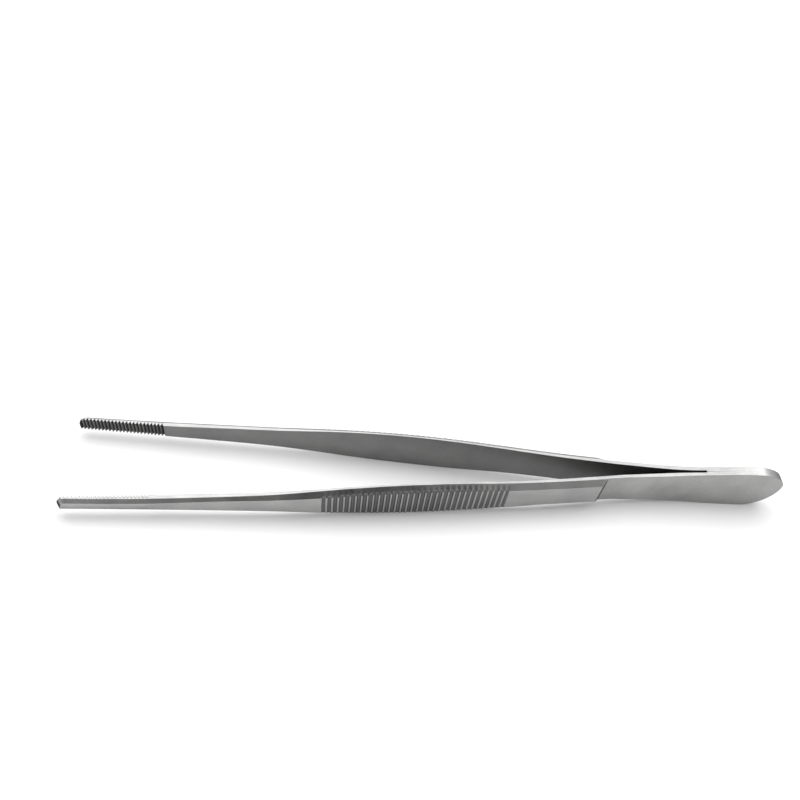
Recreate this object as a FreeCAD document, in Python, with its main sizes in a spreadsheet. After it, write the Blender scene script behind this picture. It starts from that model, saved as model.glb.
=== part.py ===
"""Thumb forceps: two mirror-image steel arms, welded flat to flat at the heel, lying on their side.

Each arm is drawn with X from its tip to its heel, Y outwards from the plane where the arms meet, and
Z across its width. The finished pair is turned to lie as it would come to rest: on the widest parts
of both grips and of the heel. Lengths are in millimetres.
"""
import FreeCAD, Part
import math
import os

import Sketcher
from FreeCAD import Placement, Rotation, Vector

# The blade's cross-sections from the tip to the spring plate. Each row gives the length of blade
# from the section before, the gap from the meeting plane to the inner face, the width, the
# thickness at the long edges, and the bevel that rises from there to the outer flat.
SECTIONS = {
    "tip": {"reach": 0.0, "gap": 9.0, "width": 3.15, "edge": 0.5, "bevel": 0.66},
    "jaw_root": {"reach": 17.5, "gap": 8.1, "width": 3.5, "edge": 0.84, "bevel": 0.7},
    "neck": {"reach": 12.5, "gap": 7.7, "width": 4.5, "edge": 0.72, "bevel": 0.65},
    "taper": {"reach": 12.0, "gap": 7.2, "width": 5.85, "edge": 0.58, "bevel": 0.85},
    "grip_front": {"reach": 7.7, "gap": 6.8, "width": 7.4, "edge": 0.42, "bevel": 1.05},
    "grip_belly": {"reach": 10.3, "gap": 6.1, "width": 8.95, "edge": 0.34, "bevel": 1.15},
    "grip_crown": {"reach": 10.0, "gap": 5.3, "width": 9.45, "edge": 0.36, "bevel": 1.18},
    "grip_slope": {"reach": 9.0, "gap": 4.5, "width": 9.05, "edge": 0.45, "bevel": 1.15},
    "grip_rear": {"reach": 7.0, "gap": 3.85, "width": 8.35, "edge": 0.52, "bevel": 1.1},
    "waist": {"reach": 12.0, "gap": 2.53, "width": 7.75, "edge": 0.66, "bevel": 1.1},
    "spring": {"reach": 12.0, "gap": 1.22, "width": 8.05, "edge": 0.8, "bevel": 1.1},
}

# The plate's flanks between the blade and the heel. Each row gives the length of plate from the
# row before, and how far the upper and the lower flank stand from the blade's middle line.
FLANKS = {
    "flank_front": {"reach": 9.0, "top": 4.1, "bottom": 4.75},
    "flank_rear": {"reach": 9.0, "top": 4.5, "bottom": 5.75},
}

# The heel lies a little below the blade's middle line, by the drop, and its round nose peaks above
# the heel's own middle line, by the rise.
SIZES = {
    "spring_length": 17.5,
    "weld_length": 17.5,
    "heel_width": 11.24,
    "heel_drop": 0.46,
    "heel_nose_length": 6.8,
    "heel_nose_rise": 1.36,
    "heel_thickness": 1.08,
    "crotch_radius": 75.0,
    "slot_radius": 120.0,
    "slot_width": 0.44,
    "shoulder_setback": 4.55,
    "shoulder_run": 1.05,
    "tip_upper_radius": 1.6,
    "tip_lower_radius": 0.4,
    "tip_nose_radius": 0.6,
    "tooth_start": 0.4,
    "tooth_pitch": 0.705,
    "tooth_count": 24,
    "tooth_width": 0.6,
    "tooth_depth": 0.48,
    "groove_pitch": 1.13,
    "groove_count": 33,
    "groove_radius": 0.42,
    "groove_depth": 0.26,
}

# How far a cutting profile reaches past the faces that it cuts.
OVERCUT = 2.0
# How far the tip's corner arcs start outside the long edges, so that they meet them at an angle.
CORNER_LEAD = 0.02

NAMES = list(SECTIONS)
for row_name, row in {**SECTIONS, **FLANKS}.items():
    for size_name, size in row.items():
        SIZES[f"{row_name}_{size_name}"] = size

doc = FreeCAD.newDocument("ThumbForceps")
sheet = doc.addObject("Spreadsheet::Sheet", "Sizes")
for line, (alias, size) in enumerate(SIZES.items(), start=1):
    sheet.set(f"A{line}", alias)
    sheet.set(f"B{line}", str(size))
    sheet.setAlias(f"B{line}", alias)
doc.recompute()


def value(alias):
    """A size from the sheet."""
    return float(getattr(sheet, alias))


def station(name):
    """Distance of a section from the tip."""
    passed = NAMES[: NAMES.index(name) + 1]
    return sum(value(f"{each}_reach") for each in passed)


def station_formula(name):
    """The same distance as an expression on the sheet."""
    passed = NAMES[: NAMES.index(name) + 1]
    return " + ".join(f"Sizes.{each}_reach" for each in passed)


def outer_flat(name):
    """Distance of the outer flat from the meeting plane at a section."""
    return value(f"{name}_gap") + value(f"{name}_edge") + value(f"{name}_bevel")


def new_sketch(body, name, role):
    """An empty sketch on one of the body's own origin planes."""
    sketch = body.newObject("Sketcher::SketchObject", name)
    plane = next(each for each in body.Origin.OriginFeatures if each.Role == role)
    sketch.AttachmentSupport = [(plane, "")]
    sketch.MapMode = "FlatFace"
    return sketch


def add_polygon(sketch, points):
    """A closed loop of lines through the points, joined at its corners."""
    count = len(points)
    for index in range(count):
        start = Vector(*points[index], 0)
        end = Vector(*points[(index + 1) % count], 0)
        sketch.addGeometry(Part.LineSegment(start, end))
    for index in range(count):
        sketch.addConstraint(Sketcher.Constraint("Coincident", index, 2, (index + 1) % count, 1))


def bind(sketch, kind, *where, formula, now):
    """A dimension of the sketch that follows the sheet."""
    index = sketch.addConstraint(Sketcher.Constraint(kind, *where, now))
    sketch.setExpression(f"Constraints[{index}]", formula)


def cut_through(body, name, sketch):
    """A pocket through the whole arm, both ways from the sketch's plane; it has to remove metal."""
    before = body.Shape.Volume
    pocket = body.newObject("PartDesign::Pocket", name)
    pocket.Profile = sketch
    pocket.Type = "ThroughAll"
    pocket.Midplane = True
    doc.recompute()
    if body.Shape.Volume >= before:
        raise RuntimeError(f"{name} removes nothing")
    return pocket


def section_sketch(body, name, side):
    """One cross-section of the blade: inner face, two edges, two bevels and the outer flat."""
    gap, edge, bevel = (value(f"{name}_{size}") for size in ("gap", "edge", "bevel"))
    half = value(f"{name}_width") / 2
    sketch = new_sketch(body, f"section_{name}", "YZ_Plane")
    sketch.setExpression("AttachmentOffset.Base.z", station_formula(name))
    add_polygon(sketch, [
        (side * (gap + edge + bevel), bevel - half),
        (side * (gap + edge), -half),
        (side * gap, -half),
        (side * gap, half),
        (side * (gap + edge), half),
        (side * (gap + edge + bevel), half - bevel),
    ])
    for constraint in (
        Sketcher.Constraint("Horizontal", 1),
        Sketcher.Constraint("Horizontal", 3),
        Sketcher.Constraint("Symmetric", 2, 1, 2, 2, -1),
        Sketcher.Constraint("Symmetric", 0, 1, 4, 2, -1),
        Sketcher.Constraint("Vertical", 0, 2, 3, 2),
    ):
        sketch.addConstraint(constraint)
    outwards = [((-1, 1), (2, 1), "gap"), ((2, 1), (0, 2), "edge"), ((0, 2), (0, 1), "bevel")]
    for first, second, size in outwards:
        ends = (*first, *second) if side > 0 else (*second, *first)
        bind(sketch, "DistanceX", *ends, formula=f"Sizes.{name}_{size}", now=value(f"{name}_{size}"))
    bind(sketch, "DistanceY", 2, 1, 2, 2, formula=f"Sizes.{name}_width", now=2 * half)
    bind(sketch, "DistanceY", 0, 2, 0, 1, formula=f"Sizes.{name}_bevel", now=bevel)
    return sketch


def tangent_from(point, centre, radius):
    """Where the line from a point touches a circle, on the side towards the heel and the point."""
    reach = Vector(centre[0] - point[0], centre[1] - point[1], 0)
    length = math.sqrt(reach.Length ** 2 - radius ** 2)
    turn = math.atan2(radius, length)
    bearing = math.atan2(reach.y, reach.x) - math.copysign(turn, reach.y)
    return (point[0] + length * math.cos(bearing), point[1] + length * math.sin(bearing))


def add_plate(body, side):
    """The spring plate from the blade to the weld, and the heel plate, as one side profile."""
    start = station("spring")
    crotch = start + value("spring_length")
    end = crotch + value("weld_length")
    gap, edge, thick = value("spring_gap"), value("spring_edge"), value("heel_thickness")
    slot = value("slot_width") / 2
    sketch = new_sketch(body, "plate_profile", "XY_Plane")

    def line(first, second):
        first, second = (Vector(x, side * y, 0) for x, y in (first, second))
        sketch.addGeometry(Part.LineSegment(first, second))

    def bend(level, from_level, radius):
        touch = tangent_from((start, from_level), (crotch, level + radius), radius)
        angle = math.asin((crotch - touch[0]) / radius) / 2
        middle = (crotch - radius * math.sin(angle), level + radius * (1 - math.cos(angle)))
        points = (touch, middle, (crotch, level))
        sketch.addGeometry(Part.Arc(*(Vector(x, side * y, 0) for x, y in points)))
        line((start, from_level), touch)

    bend(slot, gap, value("slot_radius"))
    line((crotch, slot), (crotch, 0.0))
    line((crotch, 0.0), (end, 0.0))
    line((end, 0.0), (end, thick))
    line((end, thick), (crotch, thick))
    bend(thick, gap + edge, value("crotch_radius"))
    line((start, gap + edge), (start, gap))
    pad = body.newObject("PartDesign::Pad", "plate")
    pad.Profile = sketch
    pad.Midplane = True
    pad.setExpression("Length", f"Sizes.heel_width + 2 * Sizes.heel_drop + {2 * OVERCUT}")
    doc.recompute()


def cut_heel_outline(body):
    """The plate's flanks spread in long curves to the heel's round nose."""
    start = station("spring")
    end = start + value("spring_length") + value("weld_length")
    widest = end - value("heel_nose_length")
    half, drop = value("heel_width") / 2, value("heel_drop")
    narrow = value("spring_width") / 2
    peak = Vector(end, value("heel_nose_rise") - drop, 0)
    clear = half + drop + 2 * OVERCUT
    sketch = new_sketch(body, "heel_outline", "XZ_Plane")

    def line(first, second):
        sketch.addGeometry(Part.LineSegment(Vector(*first, 0), Vector(*second, 0)))

    def flank(side_name, turn, crest):
        points, reached = [Vector(start, turn * narrow, 0)], start
        for each in FLANKS:
            reached += value(f"{each}_reach")
            points.append(Vector(reached, turn * value(f"{each}_{side_name}"), 0))
        curve = Part.BSplineCurve()
        curve.interpolate(Points=points + [crest], InitialTangent=points[1] - points[0],
                          FinalTangent=Vector(1, 0, 0))
        sketch.addGeometry(curve)

    def nose_quarter(crest):
        ends = sorted((peak, crest), key=(Vector(widest, peak.y, 0)).distanceToPoint)
        ellipse = Part.Ellipse(ends[1], ends[0], Vector(widest, peak.y, 0))
        first, last = sorted((ellipse.parameter(peak), ellipse.parameter(crest)))
        if last - first > math.pi:
            first, last = last, first + 2 * math.pi
        sketch.addGeometry(Part.ArcOfEllipse(ellipse, first, last))

    for side_name, turn in (("top", 1), ("bottom", -1)):
        crest = Vector(widest, turn * half - drop, 0)
        flank(side_name, turn, crest)
        nose_quarter(crest)
    line((start, -narrow), (start, -clear))
    line((start, -clear), (end + OVERCUT, -clear))
    line((end + OVERCUT, -clear), (end + OVERCUT, clear))
    line((end + OVERCUT, clear), (start, clear))
    line((start, clear), (start, narrow))
    cut_through(body, "heel_sides", sketch)


def add_blade(body, side):
    """The forged blade in two lofts that share a section: the grip's, and the jaw's and neck's."""
    sketches = [section_sketch(body, name, side) for name in NAMES]
    doc.recompute()
    shared = NAMES.index("grip_front")
    for name, run in (("grip_and_waist", sketches[shared:]), ("jaw_and_neck", sketches[: shared + 1])):
        before = body.Shape.Volume
        loft = body.newObject("PartDesign::AdditiveLoft", name)
        loft.Profile = run[0]
        loft.Sections = run[1:]
        doc.recompute()
        if body.Shape.Volume <= before:
            raise RuntimeError(f"{name} adds nothing")


def cut_shoulder(body, side):
    """The grinding step where the bevelled blade drops to the thin spring plate."""
    end = station("spring")
    level = value("spring_gap") + value("spring_edge")
    before = value("waist_gap") + value("waist_edge")
    slope = (before - level) / value("spring_reach")
    foot = end - value("shoulder_setback") + value("shoulder_run")
    foot_level = level + slope * (end - foot)
    rise = value("spring_bevel")
    top = rise + OVERCUT
    back = value("shoulder_run") * top / rise
    points = [
        (foot, foot_level),
        (end, level),
        (end + OVERCUT, level),
        (end + OVERCUT, foot_level + top),
        (foot - back, foot_level + top),
    ]
    sketch = new_sketch(body, "shoulder_profile", "XY_Plane")
    add_polygon(sketch, [(x, side * y) for x, y in points])
    cut_through(body, "shoulder", sketch)


def cut_tip(body, side):
    """Rounds the tip: its two corners seen from the side, and its outer corner seen from above."""
    half = value("tip_width") / 2 + CORNER_LEAD
    for turn, name in ((1, "tip_upper"), (-1, "tip_lower")):
        sketch = new_sketch(body, f"{name}_profile", "XZ_Plane")
        add_corner(sketch, (0.0, turn * half), (1, -turn), value(f"{name}_radius"))
        cut_through(body, f"{name}_corner", sketch)
    sketch = new_sketch(body, "tip_nose_profile", "XY_Plane")
    add_corner(sketch, (0.0, side * (outer_flat("tip") + CORNER_LEAD)), (1, -side), value("tip_nose_radius"))
    cut_through(body, "tip_nose", sketch)


def add_corner(sketch, corner, inwards, radius):
    """The waste outside a rounded corner, reaching past the corner on both sides."""
    (x, y), (dx, dy) = corner, inwards
    across = Vector(x, y + dy * radius, 0)
    along = Vector(x + dx * radius, y, 0)
    centre = Vector(x + dx * radius, y + dy * radius, 0)
    middle = centre - Vector(dx, dy, 0) * (radius / math.sqrt(2))
    sketch.addGeometry(Part.Arc(across, middle, along))
    far = [
        along,
        along - Vector(0, dy * OVERCUT, 0),
        Vector(x - dx * OVERCUT, y - dy * OVERCUT, 0),
        across - Vector(dx * OVERCUT, 0, 0),
        across,
    ]
    for start, end in zip(far, far[1:]):
        sketch.addGeometry(Part.LineSegment(start, end))


def lay_along(sketch, name_from, name_to, level, side, lead):
    """Turns a sketch in its plane so that its X axis runs along a face, from a point on it."""
    start = Vector(station(name_from), side * level(name_from), 0)
    end = Vector(station(name_to), side * level(name_to), 0)
    along = (end - start).normalize()
    angle = math.degrees(math.atan2(along.y, along.x))
    sketch.AttachmentOffset = Placement(start + along * lead, Rotation(Vector(0, 0, 1), angle))


def repeat(body, name, feature, sketch, pitch, count):
    """Repeats a cut at an even pitch along the sketch's X axis."""
    before = body.Shape.Volume
    pattern = body.newObject("PartDesign::LinearPattern", name)
    pattern.Originals = [feature]
    pattern.Direction = (sketch, ["H_Axis"])
    pattern.Mode = "Spacing"
    pattern.setExpression("Offset", f"Sizes.{pitch}")
    pattern.setExpression("Occurrences", f"Sizes.{count}")
    body.Tip = pattern
    doc.recompute()
    if body.Shape.Volume >= before:
        raise RuntimeError(f"{name} removes nothing")


def cut_teeth(body, side):
    """The jaw's cross serrations: V grooves along the straight inner face."""
    half, depth = value("tooth_width") / 2, value("tooth_depth")
    reach = half * (1 + OVERCUT / depth)
    sketch = new_sketch(body, "tooth_profile", "XY_Plane")
    lay_along(sketch, "tip", "jaw_root", lambda name: value(f"{name}_gap"), side, value("tooth_start"))
    add_polygon(sketch, [(0.0, side * depth), (reach, -side * OVERCUT), (-reach, -side * OVERCUT)])
    tooth = cut_through(body, "tooth", sketch)
    repeat(body, "teeth", tooth, sketch, "tooth_pitch", "tooth_count")


def cut_grooves(body, side):
    """The finger grip: round-bottomed grooves, cut in one straight pass across the outer flat."""
    radius, depth = value("groove_radius"), value("groove_depth")
    sketch = new_sketch(body, "groove_profile", "XY_Plane")
    lay_along(sketch, "grip_front", "grip_rear", outer_flat, side, 0.0)
    centre = Vector(0, side * (radius - depth), 0)
    sketch.addGeometry(Part.Circle(centre, Vector(0, 0, 1), radius))
    bind(sketch, "Radius", 0, formula="Sizes.groove_radius", now=radius)
    groove = cut_through(body, "groove", sketch)
    repeat(body, "grooves", groove, sketch, "groove_pitch", "groove_count")


def make_arm(name, side):
    """One arm; side is 1 for the arm on the +Y side and -1 for the arm on the -Y side."""
    body = doc.addObject("PartDesign::Body", name)
    body.Label = name
    add_plate(body, side)
    cut_heel_outline(body)
    add_blade(body, side)
    cut_shoulder(body, side)
    cut_tip(body, side)
    cut_teeth(body, side)
    cut_grooves(body, side)
    return body


def lay_down(arms):
    """Turns the pair until grips and heel both touch the surface, and sets the origin there."""
    heel_foot = value("heel_width") / 2 + value("heel_drop")
    crown_foot = value("grip_crown_width") / 2
    heel_end = station("spring") + value("spring_length") + value("weld_length")
    run = heel_end - value("heel_nose_length") - station("grip_crown")
    tilt = math.degrees(math.atan2(heel_foot - crown_foot, run))
    turned = Rotation(Vector(0, 1, 0), -tilt)
    for arm in arms:
        arm.Placement = Placement(Vector(), turned)
    doc.recompute()
    box = Part.makeCompound([arm.Shape for arm in arms]).optimalBoundingBox()
    origin = Vector((box.XMin + box.XMax) / 2, (box.YMin + box.YMax) / 2, box.ZMin)
    for arm in arms:
        arm.Placement = Placement(-origin, turned)
    doc.recompute()
    print(f"tilt {tilt:.3f} degrees, origin of the flat arm's frame at {-origin}")


def check_and_write(arms):
    """Stops on any failed feature or faulty solid, then writes each arm to its own file."""
    failed = [each.Name for each in doc.Objects if {"Invalid", "Error"} & set(each.State)]
    if failed:
        raise RuntimeError(f"failed: {failed}")
    os.makedirs("parts", exist_ok=True)
    for arm in arms:
        shape = arm.Shape
        if shape.isNull() or not shape.isValid() or len(shape.Solids) != 1:
            raise RuntimeError(f"{arm.Label} is not one valid solid")
        box = shape.optimalBoundingBox()
        print(f"{arm.Label}: {shape.Volume:.2f} mm3, {len(shape.Faces)} faces, "
              f"{box.XLength:.2f} x {box.YLength:.2f} x {box.ZLength:.2f}")
        shape.exportStep(f"parts/{arm.Label}.step")


forceps_arms = [make_arm("near_arm", -1), make_arm("far_arm", 1)]
lay_down(forceps_arms)
check_and_write(forceps_arms)
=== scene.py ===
# %% [markdown]
# # Thumb forceps
# A pair of plain dressing forceps: two ground steel arms that are welded flat to flat at the heel
# and spring apart towards the jaws. The imported model gives the place and the size of each arm, so
# it is loaded first.

# %% Load the frame
import math

import bmesh
import bpy
import numpy as np
from mathutils import Matrix, Vector


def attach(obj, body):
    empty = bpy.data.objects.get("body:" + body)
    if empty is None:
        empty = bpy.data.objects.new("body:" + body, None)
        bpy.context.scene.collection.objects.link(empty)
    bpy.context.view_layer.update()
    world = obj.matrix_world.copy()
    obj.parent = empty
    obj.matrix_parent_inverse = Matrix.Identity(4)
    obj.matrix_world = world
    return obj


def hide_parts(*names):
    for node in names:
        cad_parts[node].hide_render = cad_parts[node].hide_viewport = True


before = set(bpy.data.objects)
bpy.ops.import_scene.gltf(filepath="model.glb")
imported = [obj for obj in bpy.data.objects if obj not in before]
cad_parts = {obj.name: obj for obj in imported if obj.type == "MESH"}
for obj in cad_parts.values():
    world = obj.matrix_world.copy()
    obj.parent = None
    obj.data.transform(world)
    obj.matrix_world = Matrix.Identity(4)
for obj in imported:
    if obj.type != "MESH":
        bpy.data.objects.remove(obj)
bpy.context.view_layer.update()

MM = 0.001
print("arms:", sorted(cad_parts))

# %% [markdown]
# ## The arm's sizes
# A smith draws an arm out of a flat bar: narrow at the jaw, widest at the grip, thin where it has to
# flex. A few cross-sections, in millimetres, say all of that. Each has a gap from the middle plane
# to the inner face, a width, the thickness of its long edges, and a bevel that rises from there
# to the outer flat. A batten bent through these values gives every section in between.

# %% Sections
JAW_ROOT, GRIP_FRONT, GRIP_CROWN, GRIP_REAR = 17.5, 49.7, 70.0, 86.0
SPRING, CROTCH, HEEL_END = 110.0, 127.5, 145.0
SECTIONS = [
    # station, gap, width, edge, bevel
    (0.0, 9.0, 3.15, 0.5, 0.66),
    (JAW_ROOT, 8.1, 3.5, 0.84, 0.7),
    (30.0, 7.7, 4.5, 0.72, 0.65),
    (42.0, 7.2, 5.85, 0.58, 0.85),
    (GRIP_FRONT, 6.8, 7.4, 0.42, 1.05),
    (60.0, 6.1, 8.95, 0.34, 1.15),
    (GRIP_CROWN, 5.3, 9.45, 0.36, 1.18),
    (79.0, 4.5, 9.05, 0.45, 1.15),
    (GRIP_REAR, 3.85, 8.35, 0.52, 1.1),
    (98.0, 2.53, 7.75, 0.66, 1.1),
    (SPRING, 1.22, 8.05, 0.8, 1.1),
]


def batten(stations, values, end_slopes=None):
    """A cubic spline through the values along the arm, its ends free or held to two slopes."""
    x, v = np.array(stations), np.array(values)
    step = np.diff(x)
    pull, load = np.eye(len(x)), np.zeros(len(x))
    for i in range(1, len(x) - 1):
        pull[i, i - 1:i + 2] = step[i - 1], 2 * (step[i - 1] + step[i]), step[i]
        load[i] = 6 * ((v[i + 1] - v[i]) / step[i] - (v[i] - v[i - 1]) / step[i - 1])
    if end_slopes:
        pull[0, :2] = 2 * step[0], step[0]
        pull[-1, -2:] = step[-1], 2 * step[-1]
        load[0] = 6 * ((v[1] - v[0]) / step[0] - end_slopes[0])
        load[-1] = 6 * (end_slopes[1] - (v[-1] - v[-2]) / step[-1])
    bend = np.linalg.solve(pull, load)

    def at(s):
        i = int(np.clip(np.searchsorted(x, s) - 1, 0, len(x) - 2))
        a, b = x[i + 1] - s, s - x[i]
        curve = (bend[i] * a ** 3 + bend[i + 1] * b ** 3) / (6 * step[i])
        return curve + (v[i] / step[i] - bend[i] * step[i] / 6) * a \
            + (v[i + 1] / step[i] - bend[i + 1] * step[i] / 6) * b

    return at


columns = list(zip(*SECTIONS))
blade_gap, blade_width, blade_edge, blade_bevel = (batten(columns[0], each) for each in columns[1:])
crown_depth = blade_edge(GRIP_CROWN) + blade_bevel(GRIP_CROWN)
print(f"grip crown: {blade_width(GRIP_CROWN):.2f} mm wide, {crown_depth:.2f} mm thick")

# %% [markdown]
# ## The spring plate and the heel
# Behind the grip the arm thins to a plain plate. It runs straight inwards, bends on a wide radius,
# and lies flat against the other arm at the heel. A straight line that touches an arc is what a
# press brake leaves, so the plate's faces are made of just those two. The heel is ground by hand
# to a round nose, a little above the heel's middle, and its flanks are two more battens.

# %% Plate faces and heel outline
HEEL_THICKNESS, CROTCH_RADIUS = 1.08, 75.0
SLOT_HALF, SLOT_RADIUS = 0.44 / 2, 120.0
HEEL_HALF, HEEL_DROP = 11.24 / 2, 0.46
NOSE_LENGTH, NOSE_RISE = 6.8, 1.36
WIDEST = HEEL_END - NOSE_LENGTH
NOSE_PEAK = NOSE_RISE - HEEL_DROP
FLANK_STATIONS = (SPRING, 119.0, 128.0, WIDEST)
UPPER_FLANK, LOWER_FLANK = (4.1, 4.5), (4.75, 5.75)


def touch(point, centre, radius):
    """Where a straight run from the point first touches the arc."""
    away = Vector((centre[0] - point[0], centre[1] - point[1]))
    length = math.sqrt(away.length ** 2 - radius ** 2)
    bearing = math.atan2(away.y, away.x) - math.copysign(math.atan2(radius, length), away.y)
    return point[0] + length * math.cos(bearing), point[1] + length * math.sin(bearing)


def run_and_arc(start, centre, radius):
    """A face that runs straight from the start and then follows the arc, as far as its lowest point."""
    foot = touch(start, centre, radius)

    def at(s):
        if s < foot[0]:
            return start[1] + (foot[1] - start[1]) * (s - start[0]) / (foot[0] - start[0])
        reach = min(s, centre[0]) - centre[0]
        return centre[1] - math.sqrt(radius ** 2 - reach ** 2)

    return at


spring_gap, spring_edge = SECTIONS[-1][1], SECTIONS[-1][3]
plate_inner = run_and_arc((SPRING, spring_gap), (CROTCH, SLOT_HALF + SLOT_RADIUS), SLOT_RADIUS)
plate_outer = run_and_arc((SPRING, spring_gap + spring_edge),
                          (CROTCH, HEEL_THICKNESS + CROTCH_RADIUS), CROTCH_RADIUS)


def flank(heights, crest):
    """The height of the plate's upper or lower flank, from the blade to the heel's crest."""
    start = SECTIONS[-1][2] / 2
    first_slope = (heights[0] - start) / (FLANK_STATIONS[1] - SPRING)
    return batten(FLANK_STATIONS, (start, *heights, crest), (first_slope, 0.0))


crests = {1: HEEL_HALF - HEEL_DROP, -1: HEEL_HALF + HEEL_DROP}
flanks = {1: flank(UPPER_FLANK, crests[1]), -1: flank(LOWER_FLANK, crests[-1])}


def inner_level(s):
    """The inner face: the slot stays open as far as the weld, where the two arms meet."""
    if s > CROTCH:
        return 0.0
    return blade_gap(s) if s < SPRING else plate_inner(s)


def edge_level(s):
    return blade_gap(s) + blade_edge(s) if s < SPRING else plate_outer(s)


def half_width(s, up):
    """How far the long edge stands from the blade's middle line; up is 1 above and -1 below."""
    return blade_width(s) / 2 if s < SPRING else flanks[up](s)


print(f"plate at the crotch: {edge_level(CROTCH) - inner_level(CROTCH):.2f} mm thick")

# %% [markdown]
# ## Jaw serrations, grip grooves and the shoulder
# The jaw is filed with V notches across its inner face, and the grip is milled with round-bottomed
# grooves across its outer flat. Behind the grip a wheel grinds the bevelled blade down to the
# plate and leaves a short ramp. All three only change how high a face stands at a station, so
# each is a level along the arm. The finishing wheel softens the edges of the grooves and of the
# ramp a little. It doesn't reach into the filed notches, so they stay sharp.

# %% Levels along the arm
TOOTH_START, TOOTH_PITCH, TOOTH_COUNT, TOOTH_HALF, TOOTH_DEPTH = 0.4, 0.705, 24, 0.3, 0.48
GROOVE_PITCH, GROOVE_COUNT, GROOVE_RADIUS, GROOVE_DEPTH = 1.13, 33, 0.42, 0.26
SHOULDER_FOOT, SHOULDER_RUN, SHOULDER_REACH = 106.5, 1.05, 4.0
TIP_NOSE = 0.6
MARGIN = 1.0
SOFT, BROKEN_EDGE = 0.015, 0.1
RAMP_TOP_SOFT, RAMP_FOOT_SOFT = 2 * SOFT, 3 * SOFT
LARGEST_POWER = 300


def in_jaw(s):
    return s < JAW_ROOT + MARGIN


def in_grip(s):
    return GRIP_FRONT - MARGIN < s < GRIP_REAR + MARGIN


def lower_of(a, b, soft=SOFT):
    """The lower of two levels, with the edge between them softened."""
    low, high = min(a, b), max(a, b)
    return low - soft * math.log1p(math.exp((low - high) / soft))


def full_level(s):
    return blade_gap(s) + blade_edge(s) + blade_bevel(s)


jaw_slope = (SECTIONS[1][1] - SECTIONS[0][1]) / JAW_ROOT
jaw_run = math.hypot(1, jaw_slope)
tooth_centres = [(TOOTH_START + i * TOOTH_PITCH) / jaw_run for i in range(TOOTH_COUNT)]
grip_drop = full_level(GRIP_REAR) - full_level(GRIP_FRONT)
grip_slope = grip_drop / (GRIP_REAR - GRIP_FRONT)
grip_run = math.hypot(1, grip_slope)
groove_centres = [GRIP_FRONT + i * GROOVE_PITCH / grip_run for i in range(GROOVE_COUNT)]


def tooth_cut(s):
    """How deep the notch is that the file leaves in the jaw's inner face at s."""
    nearest = min(abs(s - centre) for centre in tooth_centres)
    return max(0.0, TOOTH_DEPTH * (1 - nearest / TOOTH_HALF))


def groove_floor(s):
    """The level that the round cutter leaves in the grip at s, or None between grooves."""
    centre = min(groove_centres, key=lambda each: abs(s - each))
    if abs(s - centre) >= GROOVE_RADIUS:
        return None
    chord = full_level(GRIP_FRONT) + grip_slope * (centre - GRIP_FRONT)
    axis = chord + GROOVE_RADIUS - GROOVE_DEPTH
    return axis - math.sqrt(GROOVE_RADIUS ** 2 - (s - centre) ** 2)


def shoulder_level(s):
    """The ground ramp that falls to the plate's outer face."""
    ramp = (SHOULDER_FOOT - s) * blade_bevel(SPRING) / SHOULDER_RUN
    power = min(ramp / RAMP_FOOT_SOFT, LARGEST_POWER)
    return edge_level(s) + RAMP_FOOT_SOFT * math.log1p(math.exp(power))


def flat_level(s):
    """The outer flat's level, with all that is cut into it."""
    if s >= SPRING:
        return plate_outer(s)
    level = full_level(s)
    if s < TIP_NOSE:
        level += math.sqrt(TIP_NOSE ** 2 - (TIP_NOSE - s) ** 2) - TIP_NOSE
    floor = groove_floor(s) if in_grip(s) else None
    if floor is not None:
        level = lower_of(level, floor)
    if s > SHOULDER_FOOT - SHOULDER_REACH:
        level = lower_of(level, shoulder_level(s), RAMP_TOP_SOFT)
    return level


print(f"{len(tooth_centres)} jaw notches, {len(groove_centres)} grip grooves")

# %% [markdown]
# ## Stations
# The bar needs loops where its shape changes: closely round each notch and groove, at the ramp,
# and round the tip and the heel, and only every millimetre elsewhere. Each station has a place on
# the arm's outline seen from the side, above and below, and the direction straight out of the edge
# there, so that the rounding follows the corner at the tip and the nose at the heel.

# %% Station list
TIP_CORNERS = {1: 1.6, -1: 0.4}
TIP_TURN, NOSE_TURN = 10, 4.0
EVEN_STEP, CLOSEST = 1.0, 0.008
NOTCH_LOOPS = (-TOOTH_HALF, -0.15, -0.03, 0.0, 0.03, 0.15, TOOTH_HALF)
GROOVE_SHARES, GROOVE_BRINKS = (0.0, 0.25, 0.5, 0.72, 0.88, 0.97), (0.02, 0.06)
RAMP_SHARES = np.array([1.8, 1.3, 1.16, 1.08, 1.04, 1.0, 0.92, 0.8, 0.64, 0.48, 0.32, 0.16, 0.08,
                        0.0, -0.08, -0.2, -0.4])
CROTCH_LOOPS = (-0.3, -0.1, 0.0, 0.02, 0.2, 0.5)
# Where nothing is cut into the arm, clear of the closer loops at either end.
PLAIN_STRETCHES = ((JAW_ROOT + 0.5, GRIP_FRONT - 1), (GRIP_REAR + 1, SHOULDER_FOOT - 2.5),
                   (SHOULDER_FOOT + 0.8, WIDEST - 0.3))


def tip_point(s, up):
    """Outline height and outward direction near the tip, whose upper corner is the rounder one."""
    radius = TIP_CORNERS[up]
    if s >= radius:
        return half_width(s, up), 0.0, 1.0
    angle = math.acos(1 - s / radius)
    return half_width(radius, up) - radius * (1 - math.sin(angle)), -math.cos(angle), math.sin(angle)


def nose_point(angle, up):
    """Outline height and outward direction on the nose, from its crest at 0 to its peak."""
    reach = crests[up] - up * NOSE_PEAK
    out_x, out_z = math.sin(angle) / NOSE_LENGTH, math.cos(angle) / reach
    size = math.hypot(out_x, out_z)
    return up * NOSE_PEAK + reach * math.cos(angle), out_x / size, out_z / size


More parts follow.
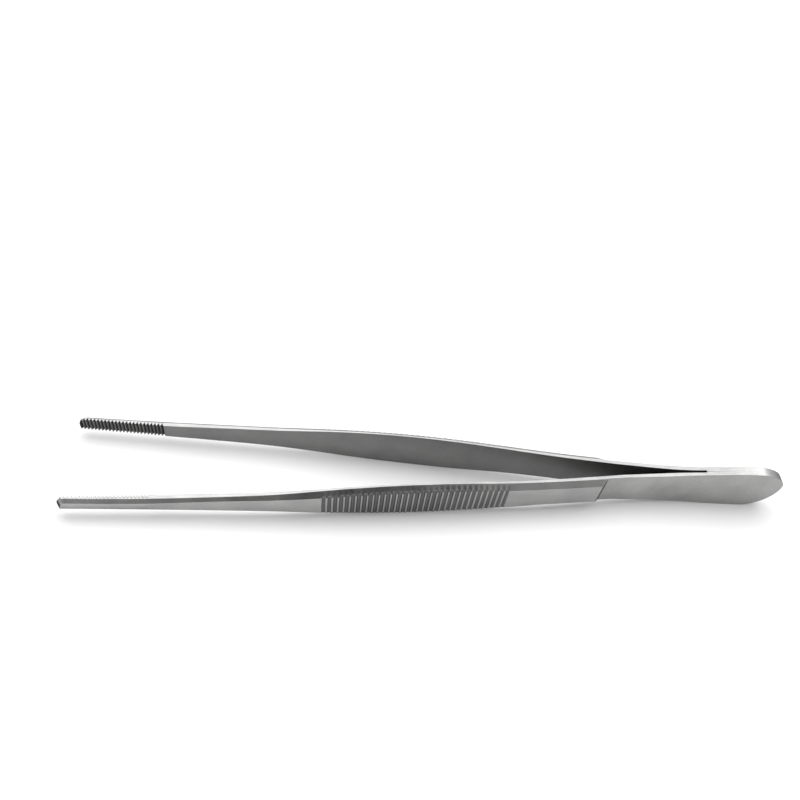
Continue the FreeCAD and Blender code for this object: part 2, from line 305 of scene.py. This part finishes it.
def station_list():
    """Distance from the tip of each loop, and the outline above (1) and below (-1) there."""
    places = set()
    for angle in np.radians(np.arange(0, 90, TIP_TURN)):
        places.update(round(radius * (1 - math.cos(angle)), 4) for radius in TIP_CORNERS.values())
    for centre in tooth_centres:
        places.update(round(centre + off, 4) for off in NOTCH_LOOPS)
    for centre in groove_centres:
        sink = full_level(centre) - groove_floor(centre)
        half = math.sqrt(GROOVE_RADIUS ** 2 - (GROOVE_RADIUS - sink) ** 2)
        for share in GROOVE_SHARES:
            places.update((round(centre - share * half, 4), round(centre + share * half, 4)))
        for past in GROOVE_BRINKS:
            places.update((round(centre - half - past, 4), round(centre + half + past, 4)))
    places.update(np.round(SHOULDER_FOOT - SHOULDER_RUN * RAMP_SHARES, 4))
    for start, end in PLAIN_STRETCHES:
        count = int((end - start) / EVEN_STEP) + 1
        places.update(np.round(np.linspace(start, end, count), 4))
    places.update(CROTCH + off for off in CROTCH_LOOPS)
    rows = []
    for s in sorted(places):
        if not rows or s - rows[-1][0] > CLOSEST:
            rows.append((s, {up: tip_point(s, up) for up in TIP_CORNERS}))
    for angle in np.radians(np.arange(0, 90, NOSE_TURN)):
        s = WIDEST + NOSE_LENGTH * math.sin(angle)
        rows.append((s, {up: nose_point(angle, up) for up in (1, -1)}))
    return rows


stations = station_list()
print(f"{len(stations)} loops along the arm")

# %% [markdown]
# ## Forging an arm
# The arm starts as a square bar. Its two outer edges are bevelled, all six long edges are finely
# rounded, as polishing leaves them, and the bar is looped lengthwise once for each station. Then
# each loop is pressed to its section: a corner goes where the sizes say, and its rounding
# goes with it unchanged. A box model with a modifier would round the groove ends unevenly.

# %% The bar
BAR_HALF, BAR_HEIGHT, BAR_BEVEL = 2.0, 2.0, 0.6
INNER_ROUND, OUTER_ROUND = 0.08, 0.045


def long_edges(bm, wanted):
    """The edges along the bar for which wanted(y, z) holds."""
    found = []
    for edge in bm.edges:
        a, b = (vert.co for vert in edge.verts)
        if abs(a.x - b.x) > 0.5 and wanted(a.y, abs(a.z)):
            found.append(edge)
    return found


def soften(bm, edges, offset, segments):
    bmesh.ops.bevel(bm, geom=edges, offset=offset, offset_type="OFFSET", segments=segments,
                    profile=0.5, affect="EDGES", material=-1)


def bar_stock(loops):
    """A bevelled and rounded bar with one loop for each station, at X = 0, 1, 2 and so on."""
    bm = bmesh.new()
    bmesh.ops.create_cube(bm, size=1.0)
    bmesh.ops.translate(bm, verts=bm.verts, vec=(0.5, 0.5, 0.0))
    bmesh.ops.scale(bm, verts=bm.verts, vec=(loops - 1, BAR_HEIGHT, 2 * BAR_HALF))
    soften(bm, long_edges(bm, lambda y, z: y > BAR_HEIGHT - 0.01), BAR_BEVEL, 1)
    soften(bm, long_edges(bm, lambda y, z: y > 0.01), OUTER_ROUND, 2)
    soften(bm, long_edges(bm, lambda y, z: y < 0.01), INNER_ROUND, 4)
    bmesh.ops.subdivide_edges(bm, edges=long_edges(bm, lambda y, z: True), cuts=loops - 2)
    caps = [face for face in bm.faces if abs(face.normal.x) > 0.9]
    bmesh.ops.delete(bm, geom=caps, context="FACES_ONLY")
    return bm


CORNERS = {
    "inner": (0.0, BAR_HALF),
    "edge": (BAR_HEIGHT - BAR_BEVEL, BAR_HALF),
    "flat": (BAR_HEIGHT, BAR_HALF - BAR_BEVEL),
}


def nearest_corner(y, z):
    return min(CORNERS, key=lambda name: math.hypot(y - CORNERS[name][0], z - CORNERS[name][1]))


def close_end(bm, loop):
    """Bridges the upper and the lower half of an end loop, edge to edge."""
    edges = []
    for edge in bm.edges:
        a, b = (vert.co for vert in edge.verts)
        same_side = a.z * b.z > 0
        if abs(a.x - loop) < 0.1 and abs(b.x - loop) < 0.1 and same_side:
            edges.append(edge)
    bmesh.ops.bridge_loops(bm, edges=edges)


trial = bar_stock(len(stations))
print(f"bar: {len(trial.verts)} vertices, {len(trial.verts) // len(stations)} round each section")
trial.free()

# %% [markdown]
# ## Pressing the bar to shape, and laying the pair down
# Both arms come from the same tool, one turned over. They are finished in their own flat frame,
# then turned by a degree so that the grips and the wide heel all touch the table, which is how the
# pair comes to rest on its side. Each point also keeps two values. The first is how rough it is and
# how much painted shade darkens it: the outside is polished and open, but the inner face between the
# arms, the notches, the grooves and the tip's end are rougher and darkened for the shade that falls
# there. The second marks the long edges, which are ground lengthwise. The steel follows both values.

# %% Press both arms
REST_TILT = math.radians(1.1382)
REST_SHIFT = Vector((-72.4774, 0.0, 3.3854))
SEAM_DRESSED, SEAM_LEFT = 132.5, 0.15
# Shares of roughness and painted shade: the inner face between the arms, the notches and their rims,
# the grooves and the tip's end are darkened for the shade that falls there.
INNER_SHADE, NOTCH_SHADE, NOTCH_RIM_SHADE = 0.56, 0.82, 0.76
GROOVE_SHADE, FULL_SHADE_SINK = 0.74, 0.12
TIP_SHADE_LENGTH, TIP_SHADE_FADE = 0.7, 1.6
TOUCH, MERGE = 0.001, 0.0005
SHARP_ANGLE = math.radians(38)


def shade_and_roughness_share(s, name, rise):
    """How rough the finish is at a point and how much painted shade darkens it, from 0 for polished,
    unshaded steel to 1.
    """
    tip = min(1.0, max(0.0, TIP_SHADE_FADE * (1 - s / TIP_SHADE_LENGTH)))
    if name == "inner":
        notch = tooth_cut(s) / TOOTH_DEPTH if in_jaw(s) else 0.0
        face = INNER_SHADE + (NOTCH_SHADE - INNER_SHADE) * notch
        return max(tip, notch * NOTCH_RIM_SHADE, face * max(0.0, 1 - rise / (INNER_ROUND / 2)))
    if name == "flat" and rise > -TOUCH and in_grip(s):
        sunk = max(0.0, full_level(s) - flat_level(s) - SOFT)
        return GROOVE_SHADE * min(1.0, sunk / FULL_SHADE_SINK)
    return tip


def press(bm, side):
    """Moves each loop of the bar to its section on that side of the middle plane."""
    # Each point keeps its share of rough finish and painted shade.
    coarse_and_shade = bm.verts.layers.float.new("coarse_and_shade")
    edge_ground = bm.verts.layers.float.new("edge_ground")
    for vert in bm.verts:
        s, outline = stations[round(vert.co.x)]
        up = 1 if vert.co.z > 0 else -1
        height, out_x, out_z = outline[up]
        name = nearest_corner(vert.co.y, abs(vert.co.z))
        corner_y, corner_z = CORNERS[name]
        rise, inset = vert.co.y - corner_y, corner_z - abs(vert.co.z)
        vert[coarse_and_shade] = shade_and_roughness_share(s, name, rise)
        vert[edge_ground] = 1.0 if name != "flat" and inset < TOUCH else 0.0
        top = flat_level(s)
        edge = min(edge_level(s), top - BROKEN_EDGE)
        if name == "inner":
            dressed = min(max((s - CROTCH) / (SEAM_DRESSED - CROTCH), 0.0), 1.0)
            seam = 1 - (1 - SEAM_LEFT) * dressed
            level = inner_level(s) + (tooth_cut(s) if in_jaw(s) else 0.0)
            rise, inset = rise * seam, inset * seam
        elif name == "edge":
            level = edge
        else:
            level = top
            inset += top - edge
        vert.co = (s - inset * out_x, side * (level + rise), up * (height - inset * out_z))


def forge_arm(name, side):
    bm = bar_stock(len(stations))
    for loop in (0, len(stations) - 1):
        close_end(bm, loop)
    press(bm, side)
    bmesh.ops.remove_doubles(bm, verts=bm.verts, dist=MERGE)
    bmesh.ops.recalc_face_normals(bm, faces=bm.faces)
    bmesh.ops.rotate(bm, verts=bm.verts, cent=(0, 0, 0), matrix=Matrix.Rotation(-REST_TILT, 3, "Y"))
    bmesh.ops.translate(bm, verts=bm.verts, vec=REST_SHIFT)
    bmesh.ops.scale(bm, verts=bm.verts, vec=(MM, MM, MM))
    open_edges = sum(not edge.is_manifold for edge in bm.edges)
    mesh = bpy.data.meshes.new(name)
    bm.to_mesh(mesh)
    bm.free()
    mesh.shade_smooth()
    mesh.set_sharp_from_angle(angle=SHARP_ANGLE)
    arm = bpy.data.objects.new(name, mesh)
    bpy.context.scene.collection.objects.link(arm)
    weighted = arm.modifiers.new("even_shading", "WEIGHTED_NORMAL")
    weighted.keep_sharp = True
    print(f"{name}: {len(mesh.polygons)} faces, {open_edges} open edges")
    return arm


near_arm = forge_arm("near_steel_arm", -1)
far_arm = forge_arm("far_steel_arm", 1)
for arm, node in ((near_arm, "near_arm"), (far_arm, "far_arm")):
    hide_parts(node)
    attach(arm, "root")

# %% [markdown]
# ## Satin ground stainless steel
# Such forceps are forged from martensitic stainless steel, ground lengthwise and then given a satin
# finish, which takes the glare off under a surgeon's lamp. The eye sees an even grey metal whose
# highlights are soft, with a short sandy grain. The grain is noise stretched along the arm, and a
# second, far wider noise bends the reflections a little, as grinding by hand does. Where the surface
# was left as cut it is duller, and its colour is darkened as painted shade, for the shade that falls
# between the arms, in the notches and grooves and at the tip's end. The long edges show the streaks
# of the grinding belt. Steel seen at a glancing angle loses a little light, which draws the fine grey
# line along the back of each arm.

# %% Steel
def linear(code):
    """An sRGB hex colour as linear red, green, blue and alpha."""
    parts = [int(code[i:i + 2], 16) / 255 for i in (1, 3, 5)]
    return [p / 12.92 if p <= 0.04045 else ((p + 0.055) / 1.055) ** 2.4 for p in parts] + [1.0]


def add(tree, kind, settings=None, **inputs):
    """Adds a node, with its settings and with values or links for its inputs."""
    node = tree.nodes.new(kind)
    for key, setting in (settings or {}).items():
        setattr(node, key, setting)
    for key, source in inputs.items():
        socket = node.inputs[key.replace("_", " ")]
        if isinstance(source, bpy.types.NodeSocket):
            tree.links.new(source, socket)
        else:
            socket.default_value = source
    return node


def calculate(tree, operation, *values):
    """A math node on numbers or sockets; gives its result."""
    node = add(tree, "ShaderNodeMath", {"operation": operation})
    for socket, source in zip(node.inputs, values):
        if isinstance(source, bpy.types.NodeSocket):
            tree.links.new(source, socket)
        else:
            socket.default_value = source
    return node.outputs["Value"]


def empty_material(name):
    material = bpy.data.materials.new(name)
    material.use_nodes = True
    material.node_tree.nodes.clear()
    return material, material.node_tree


# Satin grit leaves marks a few hundredths of a millimetre wide, far finer than the render can show,
# so they are drawn a fifth of a millimetre wide and 0.6 mm long, which still reads as an even satin.
SCRATCH_WIDTH, SCRATCH_LENGTH = 0.2 * MM, 0.6 * MM
# A hand that holds the arm to a wheel leaves it very slightly wavy: under a hundredth in 7 mm.
WAVE_LENGTH, WAVE_WIDTH, WAVE_HEIGHT = 7.0 * MM, 2.5 * MM, 0.009 * MM
# The belt's streaks on the edges are as wide as on the real thing, a quarter of a millimetre.
STREAK_WIDTH, STREAK_LENGTH = 0.25 * MM, 14.0 * MM
BLOTCH = 5.0 * MM
# Noise seldom leaves its middle range, so that range is spread over the whole of each finish.
NOISE_LOW, NOISE_HIGH = 0.3, 0.7
SMOOTHEST, ROUGHEST, ROUGHER_AS_CUT = 0.27, 0.39, 0.2
# STREAK_DEPTH darkens the ground edges with streaks. The second value is painted shade: how much darker
# the colour is made on the inner face, the notches, the grooves and the tip's end.
STREAK_DEPTH, SHADE_DEPTH = 0.4, 0.76
GRAIN_STRENGTH, GRAIN_HEIGHT = 0.25, 0.01 * MM
DARK_STEEL, LIGHT_STEEL, GLANCING_TINT = "#9E9E9E", "#BABAB9", "#8C8C8C"


def satin_steel():
    material, tree = empty_material("satin_ground_stainless_steel")
    place = add(tree, "ShaderNodeTexCoord").outputs["Object"]
    stretched = add(tree, "ShaderNodeMapping", Vector=place,
                    Scale=(1 / SCRATCH_LENGTH, 1 / SCRATCH_WIDTH, 1 / SCRATCH_WIDTH))
    grain = add(tree, "ShaderNodeTexNoise", Vector=stretched.outputs["Vector"], Scale=1.0,
                Detail=3.0, Roughness=0.6)
    blotches = add(tree, "ShaderNodeTexNoise", Vector=place, Scale=1 / BLOTCH, Detail=2.0)
    halved = calculate(tree, "MULTIPLY", blotches.outputs["Fac"], 0.5)
    both = calculate(tree, "MULTIPLY_ADD", grain.outputs["Fac"], 0.5, halved)
    rough = add(tree, "ShaderNodeMapRange", Value=both, From_Min=NOISE_LOW, From_Max=NOISE_HIGH,
                To_Min=SMOOTHEST, To_Max=ROUGHEST)
    tone = add(tree, "ShaderNodeValToRGB", Fac=both)
    darkest, lightest = tone.color_ramp.elements
    darkest.position, darkest.color = NOISE_LOW, linear(DARK_STEEL)
    lightest.position, lightest.color = NOISE_HIGH, linear(LIGHT_STEEL)
    swell = add(tree, "ShaderNodeMapping", Vector=place,
                Scale=(1 / WAVE_LENGTH, 1 / WAVE_WIDTH, 1 / WAVE_WIDTH))
    waves = add(tree, "ShaderNodeTexNoise", Vector=swell.outputs["Vector"], Scale=1.0, Detail=0.0)
    wavy = add(tree, "ShaderNodeBump", Height=waves.outputs["Fac"], Distance=WAVE_HEIGHT)
    relief = add(tree, "ShaderNodeBump", Height=grain.outputs["Fac"], Strength=GRAIN_STRENGTH,
                 Distance=GRAIN_HEIGHT, Normal=wavy.outputs["Normal"])
    coarse_and_shade = add(tree, "ShaderNodeAttribute", {"attribute_name": "coarse_and_shade"}).outputs["Fac"]
    edge = add(tree, "ShaderNodeAttribute", {"attribute_name": "edge_ground"}).outputs["Fac"]
    drawn_out = add(tree, "ShaderNodeMapping", Vector=place,
                    Scale=(1 / STREAK_LENGTH, 1 / STREAK_WIDTH, 1 / STREAK_WIDTH))
    streaks = add(tree, "ShaderNodeTexNoise", Vector=drawn_out.outputs["Vector"], Scale=1.0,
                  Detail=1.0)
    streak = calculate(tree, "MULTIPLY", streaks.outputs["Fac"], STREAK_DEPTH)
    streak_loss = calculate(tree, "MULTIPLY", streak, edge)
    # Painted shade: the colour is darkened by each point's shade share.
    painted_shade = calculate(tree, "MULTIPLY", coarse_and_shade, SHADE_DEPTH)
    unshaded = calculate(tree, "SUBTRACT", 1.0, painted_shade)
    kept = calculate(tree, "SUBTRACT", unshaded, streak_loss)
    shaded = add(tree, "ShaderNodeHueSaturation", Color=tone.outputs["Color"], Value=kept)
    duller = calculate(tree, "MULTIPLY_ADD", coarse_and_shade, ROUGHER_AS_CUT, rough.outputs["Result"])
    shader = add(tree, "ShaderNodeBsdfPrincipled", Base_Color=shaded.outputs["Color"],
                 Roughness=duller, Normal=relief.outputs["Normal"], Metallic=1.0,
                 Specular_Tint=linear(GLANCING_TINT))
    add(tree, "ShaderNodeOutputMaterial", Surface=shader.outputs["BSDF"])
    return material


steel = satin_steel()
for arm in (near_arm, far_arm):
    arm.data.materials.append(steel)
print("steel on both arms")

# %% [markdown]
# ## The table
# The pair lies on a matt white table. Near the pair it has only a trace of glow, so that it keeps
# the shadow that the arms throw. Further off, where the lamp's light fades, the glow grows, and the
# table runs into the white room without a line. Only the camera and reflections see the glow.

# %% Table
TABLE_SIZE, TABLE_COLOUR = (6, 6), "#F2F2F2"
NEAR_GLOW, FAR_GLOW = 0.03, 1.0
FADE_FROM, FADE_TO = 0.22, 0.7


def seen_directly(tree):
    """1 for rays from the camera, from a mirror reflection or through glass, else 0."""
    path = add(tree, "ShaderNodeLightPath").outputs
    seen = calculate(tree, "MAXIMUM", path["Is Camera Ray"], path["Is Glossy Ray"])
    return calculate(tree, "MAXIMUM", seen, path["Is Transmission Ray"])


def white_table():
    material, tree = empty_material("matt_white_table")
    matt = add(tree, "ShaderNodeBsdfDiffuse", Color=linear(TABLE_COLOUR))
    place = add(tree, "ShaderNodeTexCoord").outputs["Object"]
    away = add(tree, "ShaderNodeVectorMath", {"operation": "LENGTH"}, Vector=place).outputs["Value"]
    faded = add(tree, "ShaderNodeMapRange", Value=away, From_Min=FADE_FROM, From_Max=FADE_TO,
                To_Min=NEAR_GLOW, To_Max=FAR_GLOW)
    lift = calculate(tree, "MULTIPLY", seen_directly(tree), faded.outputs["Result"])
    glow = add(tree, "ShaderNodeEmission", Color=(1, 1, 1, 1), Strength=lift)
    total = add(tree, "ShaderNodeAddShader")
    tree.links.new(matt.outputs["BSDF"], total.inputs[0])
    tree.links.new(glow.outputs["Emission"], total.inputs[1])
    add(tree, "ShaderNodeOutputMaterial", Surface=total.outputs["Shader"])
    return material


def stage_sheet(name, size, place, turn, material):
    """A flat studio sheet, finished with its place in its mesh."""
    bm = bmesh.new()
    bmesh.ops.create_grid(bm, x_segments=1, y_segments=1, size=0.5)
    bmesh.ops.scale(bm, verts=bm.verts, vec=(size[0], size[1], 1))
    bmesh.ops.rotate(bm, verts=bm.verts, cent=(0, 0, 0), matrix=Matrix.Rotation(turn, 3, "X"))
    bmesh.ops.translate(bm, verts=bm.verts, vec=place)
    mesh = bpy.data.meshes.new(name)
    bm.to_mesh(mesh)
    bm.free()
    mesh.materials.append(material)
    sheet = bpy.data.objects.new(name, mesh)
    bpy.context.scene.collection.objects.link(sheet)
    return sheet


table = stage_sheet("table", TABLE_SIZE, (0, 0, 0), 0.0, white_table())
print(f"table: {table.dimensions.x:.0f} m wide, its glow grows from {FADE_FROM} m out")

# %% [markdown]
# ## What the steel mirrors
# Metal is only as light as what it mirrors. The long edges mirror the lamp's white cloth, and the
# bevels that face the camera mirror the room behind it, light at both sides and dark in the middle,
# where the camera stands. Two glowing sheets stand for these. They are seen only in reflections, and
# how bright they are changes along the arm.

# %% The room behind the camera and the lamp's cloth
def mirrored_only(sheet):
    sheet.visible_camera = sheet.visible_shadow = sheet.visible_diffuse = False


def sheet_glow(name, stops):
    """A glow that changes along the sheet; stops give the X position and the strength there."""
    material, tree = empty_material(name)
    place = add(tree, "ShaderNodeTexCoord").outputs["Object"]
    along = add(tree, "ShaderNodeSeparateXYZ", Vector=place).outputs["X"]
    first, last = stops[0][0], stops[-1][0]
    share = add(tree, "ShaderNodeMapRange", Value=along, From_Min=first, From_Max=last)
    ramp = add(tree, "ShaderNodeValToRGB", Fac=share.outputs["Result"])
    marks = ramp.color_ramp.elements
    while len(marks) < len(stops):
        marks.new(0.5)
    brightest = max(strength for position, strength in stops)
    for mark, (position, strength) in zip(marks, stops):
        mark.position = (position - first) / (last - first)
        mark.color = (*[strength / brightest] * 3, 1.0)
    glow = add(tree, "ShaderNodeEmission", Color=ramp.outputs["Color"], Strength=brightest)
    add(tree, "ShaderNodeOutputMaterial", Surface=glow.outputs["Emission"])
    return material


ROOM_TONES = [(-0.5, 0.6), (-0.17, 0.5), (-0.1, 0.07), (-0.02, 0.0), (0.12, 0.0), (0.165, 0.06),
              (0.21, 0.52), (0.5, 0.6)]
ROOM_SIZE, ROOM_PLACE, ROOM_TURN = (2.4, 1.0), (0, -0.42, 0.5), math.radians(90)
mirrored_only(stage_sheet("room_behind_camera", ROOM_SIZE, ROOM_PLACE, ROOM_TURN,
                          sheet_glow("room_behind_camera", ROOM_TONES)))

CLOTH_TONES = [(-0.5, 2.9), (-0.07, 2.8), (0.05, 2.2), (0.12, 2.0), (0.26, 2.5), (0.34, 2.0),
               (0.4, 4.2), (0.6, 4.2), (0.66, 0.9), (0.9, 0.9)]
CLOTH_SIZE, CLOTH_PLACE, CLOTH_TURN = (1.8, 0.8), (0, 0.26, 0.51), math.radians(-35)
mirrored_only(stage_sheet("lamp_cloth", CLOTH_SIZE, CLOTH_PLACE, CLOTH_TURN,
                          sheet_glow("lamp_cloth", CLOTH_TONES)))
print(f"mirrored sheets: {len(ROOM_TONES)} tones in the room, {len(CLOTH_TONES)} on the cloth")

# %% [markdown]
# ## Light
# One large soft lamp hangs above the pair and a little behind it, and a white room fills the rest.
# The lamp gives the arms' shadows their soft edge on the near side, and the room keeps them pale. The
# steel doesn't mirror the lamp itself, because the cloth above stands for it.

# %% Lamp and room
LAMP_PLACE = Vector((0.02, 0.17, 0.53))
LAMP_SIZE = (0.8, 0.4)
LAMP_RADIANCE = 2.8
lamp_data = bpy.data.lights.new("soft_lamp", "AREA")
lamp_data.shape = "RECTANGLE"
lamp_data.size, lamp_data.size_y = LAMP_SIZE
lamp_data.energy = LAMP_RADIANCE * math.pi * LAMP_SIZE[0] * LAMP_SIZE[1]
lamp = bpy.data.objects.new("soft_lamp", lamp_data)
lamp.location = LAMP_PLACE
lamp.rotation_euler = (Vector((0, 0, 0)) - lamp.location).to_track_quat("-Z", "Y").to_euler()
lamp.visible_glossy = False
bpy.context.scene.collection.objects.link(lamp)

ROOM_LIGHT = 0.7
room =bpy.data.worlds.new("white_room")
bpy.context.scene.world = room
room.use_nodes = True
room.node_tree.nodes.clear()
level = add(room.node_tree, "ShaderNodeMapRange", Value=seen_directly(room.node_tree),
            To_Min=ROOM_LIGHT)
walls = add(room.node_tree, "ShaderNodeBackground", Color=(1, 1, 1, 1),
            Strength=level.outputs["Result"])
add(room.node_tree, "ShaderNodeOutputWorld", Surface=walls.outputs["Background"])
print(f"lamp: {lamp_data.energy:.2f} W, room: {ROOM_LIGHT}")

# %% [markdown]
# ## Camera
# The camera looks down on the pair from the front at about fifty degrees, and is turned a little, so
# that the arms run across the picture. Its place and lens came from fitting the arms' outlines,
# notches and grooves to the photograph.

# %% Camera
LENS, SENSOR = 35.463, 36.0
NEAREST, FARTHEST = 0.005, 20.0
CAMERA_PLACE = Vector((-25.149, -88.514, 136.644)) * MM
CAMERA_TURN = [math.radians(angle) for angle in (39.059, -6.673, -1.297)]
camera_data = bpy.data.cameras.new("camera")
camera_data.sensor_width, camera_data.lens = SENSOR, LENS
camera_data.clip_start, camera_data.clip_end = NEAREST, FARTHEST
camera = bpy.data.objects.new("camera", camera_data)
camera.location, camera.rotation_euler = CAMERA_PLACE, CAMERA_TURN
bpy.context.scene.collection.objects.link(camera)
bpy.context.scene.camera = camera
bpy.context.scene.view_settings.view_transform = "Standard"
print(f"camera: {camera.location.length / MM:.0f} mm from the origin, lens {LENS} mm")
